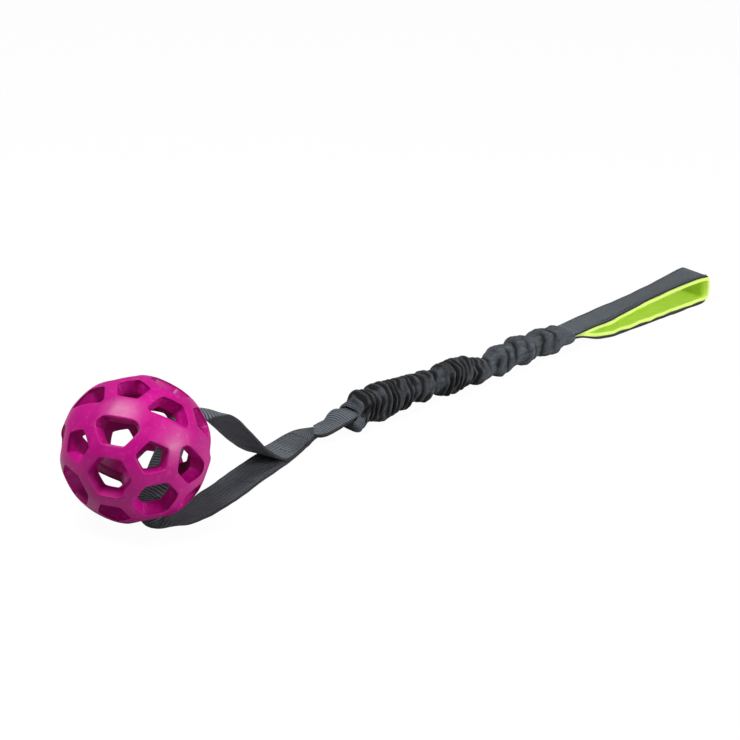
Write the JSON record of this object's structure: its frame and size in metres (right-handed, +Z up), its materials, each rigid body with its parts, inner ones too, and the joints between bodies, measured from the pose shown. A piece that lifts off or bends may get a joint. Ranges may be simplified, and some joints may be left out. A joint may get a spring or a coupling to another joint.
{
  "type": "bungee tug toy",
  "caption": "Lattice rubber ball threaded on a webbing loop, sewn by a flat tab to a gathered bungee with a fleece-lined webbing hand loop.",
  "frame": {"origin": "on the ground under the middle of the toy's bounding box", "axes": "+X along the toy from the ball towards the hand loop, +Z up, as the toy lies on the ground"},
  "size_m": [0.5864, 0.0904, 0.0908],
  "materials": {
    "rubber_ball": "magenta moulded natural rubber, satin",
    "ball_strap": "dark grey woven polypropylene webbing",
    "front_strap": "dark grey woven polypropylene webbing",
    "bungee_sleeve": "charcoal woven nylon tube, gathered",
    "elastic_core": "black woven elastic",
    "handle_webbing": "dark grey woven polypropylene webbing",
    "handle_lining": "lime green brushed fleece"
  },
  "bodies": {
    "bungee": {"front_strap": "front_strap", "bungee_sleeve": "bungee_sleeve"},
    "ball_loop": {"ball_strap": "ball_strap"},
    "ball": {"rubber_ball": "rubber_ball"},
    "bungee_end": {"elastic_core": "elastic_core"},
    "handle": {"handle_webbing": "handle_webbing", "handle_lining": "handle_lining"}
  },
  "joints": [
    {"name": "ball_swing", "type": "hinge", "parent": "bungee", "child": "ball_loop", "pos_m": [-0.0805, 0.0138, 0.0064], "axis": [0, 1, 0], "range_deg": [-120, 120], "deforming": ["front_strap"]},
    {"name": "ball_twist", "type": "hinge", "parent": "ball_loop", "child": "ball", "pos_m": [-0.2485, 0, 0.0455], "axis": [0.9359, 0.0714, -0.345], "range_deg": [-90, 90], "deforming": ["ball_strap"]},
    {"name": "bungee_stretch", "type": "slide", "parent": "bungee", "child": "bungee_end", "axis": [1, 0, 0], "range_m": [0, 0.14], "stiffness_N_per_m": 430, "deforming": ["bungee_sleeve", "elastic_core"]},
    {"name": "handle_fold", "type": "hinge", "parent": "bungee_end", "child": "handle", "pos_m": [0.1595, 0.0165, 0.01], "axis": [0, 1, 0], "range_deg": [-120, 120], "deforming": ["handle_webbing"]}
  ]
}
